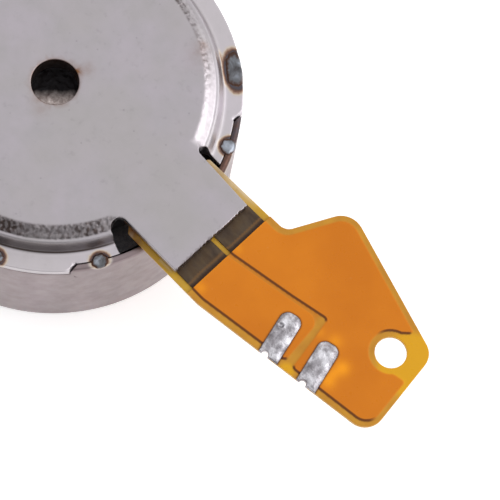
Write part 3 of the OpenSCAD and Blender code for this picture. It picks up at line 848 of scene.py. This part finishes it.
def build_can():
    """A drawn cup, a little out of round. Its wall is lower where a lug lies on it."""
    profile = can_profile()
    angles = can_angles()
    points, faces = lathe(profile, angles)
    rows, columns = len(profile), len(angles)
    table = points.reshape(rows, columns, 3)
    turn = np.radians(angles)
    wrapped = np.abs((angles + 180) % 360 - 180)
    folded = np.minimum(wrapped, 180 - wrapped)
    radius = np.hypot(table[:, :, 0], table[:, :, 1])
    lean = np.radians(LUG_LEAN) * np.exp(-(((folded - LUG_START + LUG_GAP) / 0.8) ** 2))
    lean *= np.sign(np.sin(2 * turn))
    shift = lean[None, :] * np.clip((radius - SEAM_R) / (COIN_R - SEAM_R), 0, 1)
    shift = shift * (profile[:, 1] > RIM_UNDER - 0.3)[:, None]
    wave = 0.008 * np.array([[noise.noise((math.cos(t) * 2.2, math.sin(t) * 2.2, z * 0.35)) for t in turn]
                             for z in profile[:, 1]])
    outer = (profile[:, 0] > COIN_R - CAN_CORNER - 0.01) & (profile[:, 1] < RIM_TOP - 0.001)
    radius = radius + wave * outer[:, None]
    bearing = turn[None, :] + shift
    table[:, :, 0] = radius * np.cos(bearing)
    table[:, :, 1] = radius * np.sin(bearing)
    past = np.clip((radius - COIN_R + CAN_LIP) / CAN_LIP, 0, 1)
    low = RIM_UNDER - CAN_LIP * (1 - np.sqrt(1 - past**2))
    lowered = (profile[:, 1] > RIM_UNDER + 0.001)[:, None] & (folded > LUG_START - LUG_GAP - 0.02)[None, :]
    table[:, :, 2] = np.where(lowered, low, table[:, :, 2])
    across, up = np.repeat(profile, columns, axis=0).T
    # Heat tint, and painted shade on the can's edge beside the tongue.
    hot = can_heat_and_shade(across, np.tile(angles, rows), up)
    piece("can_shell", table.reshape(-1, 3), faces, can_steel, ["case"], {"heat_tint_and_shade": hot})


# ---------------------------------------------------------------- welds and shaft
NUGGET_SPOKES = 56
NUGGET_STEPS = 16


def nugget(number, middle):
    """A weld's points, from its middle outward, and each one's share of the way out."""
    length, width = weld_size(middle)
    bend = 0.05 if abs((middle + 90) % 180 - 90) > LUG_START else 0.12
    table, shares = [draped(middle, 0, 0, bend, 0.034)], [0.0]
    for k in range(1, NUGGET_STEPS + 1):
        share = k / NUGGET_STEPS
        for j in range(NUGGET_SPOKES):
            turn = 2 * math.pi * j / NUGGET_SPOKES
            cos, sin = math.cos(turn), math.sin(turn)
            wobble = 1 + 0.2 * noise.noise((cos * 1.6, sin * 1.6, number * 3.7))
            wobble += 0.1 * noise.noise((cos * 5, sin * 5, number * 3.7))
            along = share * wobble * length * cos
            across = share * wobble * width * sin
            lump = noise.noise((along * 7, across * 7, number * 2.1))
            height = 0.03 * math.sqrt(max(0.0, 1 - share**2))
            height += 0.004 * math.cos(share * 15) * (1 - share)
            height += 0.014 * lump * (1 - share**4) - 0.02 * share**8
            table.append(draped(middle, along, across, bend, height))
            shares.append(share)
    return np.array(table + [draped(middle, 0, 0, bend, -0.08)]), shares + [1.0]


def build_welds():
    """Nuggets draped over the seam and the can's edge."""
    rows = [tuple(i + 1 for i in face) for face in grid_faces(NUGGET_STEPS, NUGGET_SPOKES)]
    outer = 1 + (NUGGET_STEPS - 1) * NUGGET_SPOKES
    parts, edges = [], []
    for number, middle in enumerate(WELDS):
        points, shares = nugget(number, middle)
        faces = list(rows)
        for j in range(NUGGET_SPOKES):
            k = (j + 1) % NUGGET_SPOKES
            faces += [(0, 1 + k, 1 + j), (outer + j, outer + k, len(points) - 1)]
        parts.append((points, faces))
        edges += shares
    points, faces = joined(parts)
    piece("weld_nuggets", points, faces, remelted, ["weld_spots"], {"edge": edges}, sharp=60)


def draped(middle, along, across, bend, height):
    """A point over the rim, round the can's edge and down its wall."""
    flat_end = COIN_R - bend - WELD_MIDDLE
    turned = (across - flat_end) / bend
    if across < flat_end:
        radius, z, out, up = WELD_MIDDLE + across, RIM_TOP, 0.0, 1.0
    elif turned < math.pi / 2:
        out, up = math.sin(turned), math.cos(turned)
        radius, z = COIN_R - bend + bend * out, RIM_TOP - bend + bend * up
    else:
        radius, z, out, up = COIN_R, RIM_TOP - bend - bend * (turned - math.pi / 2), 1.0, 0.0
    radius += out * height
    z += up * height
    turn = math.radians(middle) + along / COIN_R
    return (radius * math.cos(turn), radius * math.sin(turn), z)


def build_shaft():
    """A journal, and a wide foot with a broken, dished end."""
    journal = span("shaft")[1].x
    low = span("shaft")[0].z
    shoulder = 3.45
    foot = HOLE_R - 0.004
    profile = [(0.02, low), (SHAFT_TIP_R - 0.04, low), (SHAFT_TIP_R, low + 0.04), (SHAFT_TIP_R, 1.5),
               (SHAFT_TIP_R, shoulder), (journal - 0.03, shoulder), (foot, shoulder + 0.03),
               (foot, SHAFT_TOP - 0.03)]
    profile += [(foot - 0.03 - k * 0.027, SHAFT_TOP) for k in range(22)] + [(0.008, SHAFT_TOP)]
    angles = np.arange(0, 360, 3.0)
    points, faces = lathe(profile, angles)
    on_end = points[:, 2] > SHAFT_TOP - 0.001
    points[:, 2] -= on_end * (0.03 + 0.05 * np.abs(ripple(points[:, :2], 4.0, 6.0, 2)))
    # Painted shadow on the shaft's end, cast by the hole's rim: dark but for a lit crescent on the near side.
    # The rest of the shaft is a little darker.
    near_side = points[:, :2] @ unit(np.array([0.726, -0.688]))
    end_shadow = np.where(points[:, 2] > SHAFT_TOP - 0.1, smooth(near_side, 0.48, -0.12), 0.2)
    piece("shaft_pin", points, faces, shaft_steel, ["shaft"], {"end_shadow": end_shadow})


# ---------------------------------------------------------------- flexible circuit
OUTLINE = circuit_outline()
TAIL_OUTLINE = rounded(TAIL)
NETS = {net: net_outline(net) for net in NET_STRIPS}
PADS = {net: pad_outline(net) for net in PAD_ENDS}
BARE = rounded(BARE_PATCH)


def off(points, centre):
    """Distance from a place."""
    return np.hypot(points[:, 0] - centre[0], points[:, 1] - centre[1])


def in_notches(points):
    return np.any([off(points, at) < NOTCH_OUT for at in NOTCHES.values()], axis=0)


def notch_circles(count):
    return [circle(at, NOTCH_OUT, count) for at in NOTCHES.values()]


def in_circuit(points):
    holes = (off(points, (0, 0)) < DISC_BORE) | (off(points, LOCATING) < LOCATING_R) | in_notches(points)
    return inside(points, OUTLINE) & ~holes


def in_net(points, net):
    copper = inside(points, NETS[net]) | (inside(points, PADS[net]) & inside(points, TAIL_OUTLINE))
    bare = (off(points, LOCATING) < BARE_R) | (off(points, (0, 0)) < NET_BORE) | inside(points, BARE)
    return copper & ~bare & ~in_notches(points)


def in_copper(points):
    return in_net(points, "positive") | in_net(points, "negative")


def copper_depth(points):
    """Signed distance from the copper's border, positive over copper."""
    lines = [spaced(o, 0.02) for o in NETS.values()] + [spaced(BARE, 0.02), circle(LOCATING, BARE_R, 200)]
    border = np.concatenate(lines)
    probes = [border + np.array(step) for step in ((0.006, 0), (-0.006, 0), (0, 0.006), (0, -0.006))]
    answers = [in_copper(p) for p in probes]
    real = np.any(answers, axis=0) & ~np.all(answers, axis=0)
    return np.where(in_copper(points), 1, -1) * nearest(points, border[real]), border[real]


# Way away from the light, for the painted shade along the copper's borders.
SHADED = unit(np.array([0.12, -1.0]))


def outward(at, border, tree):
    """Way out of the copper, across its border."""
    near = border[[found[1] for found in tree.find_n((at[0], at[1], 0), 9)]]
    along = near - near.mean(0)
    across = np.linalg.eigh(along.T @ along)[1][:, 0]
    return -across if in_copper(np.array([near.mean(0) + across * 0.04]))[0] else across


def painted_shade_lines(points, depth, border):
    """Painted shade along the copper's borders that face away from the light."""
    tree = tree_of(border)
    out = np.zeros(len(points))
    for i in np.where(np.abs(depth) < 0.07)[0]:
        side = border[[found[1] for found in tree.find_n((points[i, 0], points[i, 1], 0), 5)]].mean(0)
        across = outward(side, border, tree)
        out[i] = smooth(float(across @ SHADED), 0.15, 0.7)
    return out * smooth(np.abs(depth + 0.012), 0.045, 0.02)


def build_film():
    """The base film, under the copper, with windows for the brushes' joints."""
    holes = [circle((0, 0), DISC_BORE, 96), circle(LOCATING, LOCATING_R, 72)]
    half = BRUSH_WINDOW / 2
    square = np.array([(-1, -1), (1, -1), (1, 1), (-1, 1)]) * half
    windows = [square + at for at in BRUSH_WINDOWS]

    def region(points):
        keep = in_circuit(points)
        for w in windows:
            keep &= ~inside(points, w)
        return keep

    inner = np.concatenate([grid((-3.8, -3.8), (5.2, 3.8), 0.3), grid((5.3, -1.5), (TAIL_END, 3.3), 0.07)])
    loops = [spaced(OUTLINE, 0.08)] + holes + notch_circles(32) + [spaced(w, 0.1) for w in windows]
    area = sheet(loops, region, inner, 0.01, 2)
    flat = area[0]
    points, faces = solid(area, FILM_TOP, FILM_UNDER, 0.01)
    depth, _ = copper_depth(flat)
    copper = smooth(depth, -0.03, 0.03)
    piece("amber_base_film", points, faces, base_film, ["fpc_base_film"],
          {"copper": np.concatenate([copper * 0.2, copper]), "brown_shade": darker_near_can(flat),
           "worn": film_highlights(flat)})


def darker_near_can(flat):
    """Darker brown towards the can, on both margins of the neck, more on the -Y side."""
    x, y = flat.T
    near_can = smooth(x, 5.6, 4.5) * (0.32 + 0.2 * smooth(y, 0, -1))
    near_can = near_can + 0.3 * smooth(x, 4.75, 4.5) * (y < 0)
    return np.clip(near_can * (1 + 0.7 * ripple(flat, 3.0, 15.0)), 0, 1)


def film_highlights(flat):
    """Pale marks: a painted highlight along the +Y edge of the neck, a pale line beside the tongue, and a
    painted highlight dot.
    """
    x, y = flat.T
    upper = smooth(y, 1.2, 1.35) * (0.3 + 0.55 * smooth(y, 1.46, 1.52)) * smooth(x, 6.2, 5.5)
    lower = 0.6 * smooth(np.abs(y + 1.34), 0.04, 0.015) * smooth(x, 4.5, 4.8) * smooth(x, 5.9, 5.6)
    dot = 0.9 * smooth(off(flat, (4.33, -1.4)), 0.07, 0.04)
    return np.clip(upper + lower + dot, 0, 1)


def build_traces():
    """The two nets' copper, bare for a short way between the tongue and the coverlay."""
    for net in NETS:
        loops = [spaced(NETS[net], 0.06), circle(LOCATING, BARE_R, 72), circle((0, 0), NET_BORE, 72),
                 spaced(BARE, 0.1), spaced(PADS[net], 0.1), spaced(TAIL_OUTLINE, 0.1)]
        loops += notch_circles(32)

        def region(points, net=net):
            return in_net(points, net)

        area = sheet(loops, region, grid((5.7, -1.4), (6.6, 1.6), 0.05), 0.008, 2)
        flat = area[0]
        points, faces = solid(area, COPPER_TOP, FILM_TOP, 0.008)
        x = flat[:, 0] + 0.02 * ripple(flat, 2.0, 3.0)
        # Painted shade: the copper darkens just before the coverlay's edge, where the coverlay steps up.
        brown_shade = smooth(x, COVERLAY_START - 0.11, COVERLAY_START - 0.06) * (x < COVERLAY_START + 0.2)
        glue = smooth(np.abs(x - COVERLAY_START + 0.15), 0.035, 0.015) * 0.8
        piece(f"copper_net_{net}", points, faces, trace_copper, [f"fpc_trace_{net}"],
              {"brown_shade": brown_shade * 0.8, "glue": glue})


# Painted glow: spots of light on the coverlay, each as place, size and strength.
PAINTED_GLOWS = [((10.68, 0.05), 0.2, 1.0), ((10.66, -0.45), 0.2, 0.9), ((10.62, -0.2), 0.14, 0.5),
         ((10.05, 0.42), 0.18, 0.6), ((9.6, 0.3), 0.14, 0.4), ((6.62, -1.1), 0.15, 0.55),
         ((6.55, 0.35), 0.12, 0.4)]


def coverlay_tints(flat, depth, border):
    """What shows through the coverlay: copper and bare film, with painted shade along the copper's borders
    and round the pads, and painted glow.
    """
    pad_gap = np.minimum(*[nearest(flat, spaced(p, 0.03)) for p in PADS.values()])
    # Painted shade: brown lines on the copper's borders that face away from the light, and a painted shadow
    # round the pads.
    brown_shade = painted_shade_lines(flat, depth, border) + 0.55 * smooth(pad_gap, 0.05, 0.01)
    # Painted glow: bright orange spots over copper, and a bright line along the coverlay's start.
    glow = soft_spots(flat, PAINTED_GLOWS)
    glow = glow + 0.45 * smooth(flat[:, 0], COVERLAY_START + 0.05, COVERLAY_START)
    by_hole = smooth(off(flat, (11.85, 1.4)), 1.0, 0.75)
    by_pads = smooth(off(flat, (9.72, -1.05)), 0.3, 0.12)
    in_slit = (depth < 0) * smooth(nearest(flat, spaced(OUTLINE, 0.05)), 0.28, 0.36)
    in_slit = in_slit * smooth(flat[:, 0], 9.4, 9.2)
    return {"copper": np.maximum(smooth(depth, -0.05, 0.02), 0.65 * in_slit),
            "brown_shade": np.maximum(brown_shade, 0.16 * in_slit) * 0.9,
            "glow": np.clip(glow, 0, 1) * (depth > 0),
            "pale": np.maximum(by_hole, by_pads)}


def build_coverlay():
    """The cover film, which stands a little lower where there is no copper under it."""
    start = np.array([(COVERLAY_START, -2), (13, -2), (13, 4), (COVERLAY_START, 4)])
    loops = [spaced(OUTLINE, 0.035), circle(LOCATING, LOCATING_R, 120), spaced(start, 0.035)]
    loops += [spaced(p, 0.03) for p in PADS.values()] + notch_circles(40)

    def region(points):
        keep = in_circuit(points) & (points[:, 0] > COVERLAY_START)
        for p in PADS.values():
            keep &= ~inside(points, p)
        return keep

    edge = 0.012
    _, border = copper_depth(np.zeros((1, 2)))
    edge_rows = [border + np.array((math.cos(a), math.sin(a))) * gap
                 for gap in (0.02, 0.04) for a in np.radians([35, 125, 215, 305])]
    inner = np.concatenate([grid((COVERLAY_START, -1.6), (TAIL_END, 3.3), 0.034), border, *edge_rows])
    area = sheet(loops, region, inner, edge, 2)
    flat = area[0]
    depth, _ = copper_depth(flat)
    dimple = 0.004 * ripple(flat, 1.1, 12.0, 2)
    raised = 0.016
    top = FACE_UNDER - raised + raised * smooth(depth, -0.07, 0.03) + np.minimum(dimple, 0.004)
    bottom = np.full(len(flat), FILM_TOP) + (COPPER_TOP - FILM_TOP) * (depth > 0)
    points, faces = solid(area, top, bottom, edge)
    piece("tail_coverlay", points, faces, coverlay_film, ["fpc_coverlay"],
          coverlay_tints(flat, depth, border))


CRATER = (8.78, -0.3)


def solder_top(flat, depth, number, net):
    """Height of a pad's solder: a dome with lumps, a bead, and a crater on the first pad."""
    dome = 0.04 * smooth(depth, 0.0, 0.16)
    lumps = 0.016 * ripple(flat, 5.0, 20.0 + number, 3) * smooth(depth, 0.02, 0.08)
    from_crater = off(flat, CRATER)
    crater = 0.05 * smooth(from_crater, 0.075, 0.03) - 0.012 * smooth(np.abs(from_crater - 0.09), 0.03, 0)
    bead = 0.02 * smooth(off(flat, np.array(PAD_ENDS[net]) + (0.1, 0.02)), 0.14, 0.02)
    return SOLDER_TOP - 0.035 + dome - crater * (net == "positive") + lumps + bead * smooth(depth, 0.02, 0.08)


def build_pads():
    """Solder on the two pads, which also lines each pad's notch."""
    for number, net in enumerate(PAD_ENDS):
        notch = NOTCHES[net]
        loops = [spaced(PADS[net], 0.025), spaced(TAIL_OUTLINE, 0.03), circle(notch, NOTCH_R, 40),
                 circle(notch, NOTCH_OUT, 40)]

        def region(points, net=net, notch=notch):
            body = inside(points, PADS[net]) | (off(points, notch) < NOTCH_OUT)
            return body & inside(points, TAIL_OUTLINE) & (off(points, notch) > NOTCH_R)

        edge = 0.02
        area = sheet(loops, region, grid(PADS[net].min(0), PADS[net].max(0), 0.02), edge, 3)
        flat, _, _, depth = area
        bottom = np.where(off(flat, notch) < NOTCH_OUT, FILM_UNDER, COPPER_TOP)
        points, faces = solid(area, solder_top(flat, depth, number, net), bottom, edge)
        dark = smooth(depth, 0.03, 0.0) * 0.6
        piece(f"solder_{net}", points, faces, solder, [f"solder_pad_{net}"],
              {"edge": np.concatenate([dark, dark * 0])})


# ---------------------------------------------------------------- inside of the motor
COIL_IN = 2.25
COIL_OUT = 4.2
COIL_HALF = 36
COIL_CORNER = 0.5
COIL_WIDTH = 0.62
WINDOW_TRIM = 15
WINDOW_CORNER = 0.25
COIL_SPREAD = 48
WIRE_D = 0.09


def fan(inner, outer, half, corner):
    """Outline of a ring sector with round corners, with the same count of points whatever its size."""
    out_turn = math.degrees(math.asin(corner / (outer - corner)))
    in_turn = math.degrees(math.asin(corner / (inner + corner)))
    out_half, in_half = half - out_turn, half - in_turn

    def bend(middle_r, at, start, stop):
        middle = middle_r * np.array([math.cos(math.radians(at)), math.sin(math.radians(at))])
        turn = np.radians(np.linspace(start, stop, 9)[1:-1])
        return middle + corner * np.stack([np.cos(turn), np.sin(turn)], 1)

    def side(radius, start, stop):
        turn = np.radians(np.linspace(start, stop, 25))
        return radius * np.stack([np.cos(turn), np.sin(turn)], 1)

    def straight(a, b):
        return a + (b - a) * np.linspace(0, 1, 12)[1:-1, None]

    parts = [side(outer, -out_half, out_half), bend(outer - corner, out_half, out_half, half + 90),
             bend(inner + corner, in_half, half + 90, in_half + 180), side(inner, in_half, -in_half),
             bend(inner + corner, -in_half, 180 - in_half, 270 - half),
             bend(outer - corner, -out_half, 270 - half, 360 - out_half)]
    joins = {1: straight(parts[1][-1], parts[2][0]), 4: straight(parts[4][-1], parts[5][0])}
    return np.concatenate([np.concatenate([part, joins.get(k, part[:0])]) for k, part in enumerate(parts)])


def bundle(across, layers):
    """Outline of a block of round wires, seen end on: a bump for each wire on its border."""
    wires = [(k, 0, 270) for k in range(across)] + [(across - 1, k, 0) for k in range(layers)]
    wires += [(k, layers - 1, 90) for k in reversed(range(across))]
    wires += [(0, k, 180) for k in reversed(range(layers))]
    points = []
    for column, layer, facing in wires:
        for a in np.radians(facing + np.arange(-75, 76, 30)):
            points.append((column + 0.5 + 0.5 * math.cos(a), layer + 0.5 + 0.5 * math.sin(a)))
    return np.array(points) / (across, layers)


def build_coils():
    """Fan-shaped air-core coils, wound turn by turn."""
    outer = fan(COIL_IN, COIL_OUT, COIL_HALF, COIL_CORNER)
    window = fan(COIL_IN + COIL_WIDTH, COIL_OUT - COIL_WIDTH, COIL_HALF - WINDOW_TRIM, WINDOW_CORNER)
    low, high = span("coil_a")[0].z, span("coil_a")[1].z
    block = bundle(round(COIL_WIDTH / WIRE_D), round((high - low) / WIRE_D))
    for node in ("coil_a", "coil_b"):
        middle = span(node)[0].y + span(node)[1].y
        turn = math.radians(180 - math.copysign(COIL_SPREAD, middle))
        way = np.array([[math.cos(turn), math.sin(turn)], [-math.sin(turn), math.cos(turn)]])
        flat = (outer[None] + (window - outer)[None] * block[:, :1, None]) @ way
        z = np.broadcast_to((low + (high - low) * block[:, 1])[:, None, None], flat.shape[:2] + (1,))
        points = np.concatenate([flat, z], 2).reshape(-1, 3)
        rows, columns = len(block), len(outer)
        faces = [tuple(reversed(f)) for f in grid_faces(rows, columns)]
        last = (rows - 1) * columns
        faces += [(j, (j + 1) % columns, last + (j + 1) % columns, last + j) for j in range(columns)]
        piece(f"winding_{node[-1]}", points, faces, INSIDE["coil"], [node], body="rotor")


CARRIED = {
    "ring_magnet": "ring_magnet", "fpc_bonding_tape": "fpc_bonding_tape", "brush_positive": "brush",
    "brush_negative": "brush", "upper_thrust_washer": "washer", "lower_thrust_washer": "washer",
    "rotor_bearing": "bearing", "rotor_board": "board", "commutator_segments": "commutator",
    "counterweight": "counterweight", "rotor_moulding": "moulding",
}


def finish_inside():
    """The CAD nodes that stay get their own finishes."""
    for node, look in CARRIED.items():
        paint(node, INSIDE[look])
    for node in ("brush_solder_joints", "coil_solder_joints"):
        paint(node, solder)


def paint(node, material):
    """Give a CAD node a material."""
    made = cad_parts[node]
    made.data.materials.clear()
    made.data.materials.append(material)


# ---------------------------------------------------------------- stage, light and camera
FLOOR_HALF = 400
FLOOR_GAP = 0.004


def white_floor():
    """A pale floor that isn't seen from below."""
    f = Finish("pale_floor")
    tone = f.ramp(f.noise(0.02, 2, 0.5), (0.3, 0.93), (0.7, 0.95))
    paper = f.add("ShaderNodeBsdfPrincipled", {"Base Color": tone, "Roughness": 0.9,
                                              "Emission Color": (1, 1, 1, 1), "Emission Strength": 0.45})
    clear = f.add("ShaderNodeBsdfTransparent")
    back = f.add("ShaderNodeNewGeometry").outputs["Backfacing"]
    shown = f.add("ShaderNodeMixShader", {0: back, 1: paper.outputs[0], 2: clear.outputs[0]})
    f.add("ShaderNodeOutputMaterial", {"Surface": shown.outputs[0]})
    corners = [(-1, -1), (1, -1), (1, 1), (-1, 1)]
    mesh = bpy.data.meshes.new("floor")
    mesh.from_pydata([(x * FLOOR_HALF * MM, y * FLOOR_HALF * MM, -FLOOR_GAP * MM) for x, y in corners],
                     [], [(0, 1, 2, 3)])
    mesh.materials.append(f.material)
    placed("floor", mesh)


ROOM_LIGHT = 1.03
# Direction, the cosines where it starts and where it is full, and its gain
LOBES = [((0.6, 0.62, 0.45), 0.80, 0.96, 1.3), ((0.35, -0.92, 0.2), 0.5, 0.85, -0.55),
         ((-0.86, -0.42, 0.25), 0.6, 0.86, -0.5)]


def studio_light():
    """A pale room: one large soft light to one side, and two dim corners."""
    world = bpy.data.worlds.new("studio")
    bpy.context.scene.world = world
    world.use_nodes = True
    tree = world.node_tree
    tree.nodes.clear()

    def add(kind, inputs, **settings):
        return add_node(tree, kind, inputs, settings)

    way = add("ShaderNodeTexCoord", {}).outputs["Generated"]
    total = ROOM_LIGHT
    for direction, start, full, gain in LOBES:
        towards = tuple(unit(np.array(direction)))
        cosine = add("ShaderNodeVectorMath", {0: way, 1: towards}, operation="DOT_PRODUCT").outputs["Value"]
        span_in = {"Value": cosine, "From Min": start, "From Max": full, "To Min": 0.0, "To Max": gain}
        lobe = add("ShaderNodeMapRange", span_in, interpolation_type="SMOOTHSTEP").outputs[0]
        total = add("ShaderNodeMath", {0: lobe, 1: total}, operation="ADD").outputs[0]
    light = add("ShaderNodeBackground", {"Color": (1.0, 0.99, 1.0, 1), "Strength": total})
    add("ShaderNodeOutputWorld", {"Surface": light.outputs[0]})


CAMERA_AIM = (6.813, 0.487)
CAMERA_DISTANCE = 77.87
CAMERA_AZIMUTH = 32.107
CAMERA_ELEVATION = 73.0
CAMERA_ROLL = 13.827
CAMERA_LENS = 216


def place_camera():
    """The camera, which looks down at the raised face and the tail."""
    data = bpy.data.cameras.new("camera")
    camera = placed("camera", data)
    bpy.context.scene.camera = camera
    data.lens = CAMERA_LENS
    data.sensor_width = 36
    data.clip_start = 0.001
    azimuth, elevation = math.radians(CAMERA_AZIMUTH), math.radians(CAMERA_ELEVATION)
    back = Vector((math.sin(azimuth) * math.cos(elevation), -math.cos(azimuth) * math.cos(elevation),
                   math.sin(elevation)))
    turn = back.to_track_quat("Z", "Y") @ Matrix.Rotation(math.radians(CAMERA_ROLL), 3, "Z").to_quaternion()
    camera.rotation_mode = "QUATERNION"
    camera.rotation_quaternion = turn
    camera.location = (Vector((*CAMERA_AIM, FACE)) + back * CAMERA_DISTANCE) * MM


build_bracket()
build_can()
build_welds()
build_shaft()
build_film()
build_traces()
build_coverlay()
build_pads()
build_coils()
finish_inside()
white_floor()
studio_light()
place_camera()
bpy.context.scene.view_settings.view_transform = "Standard"

bpy.context.view_layer.update()
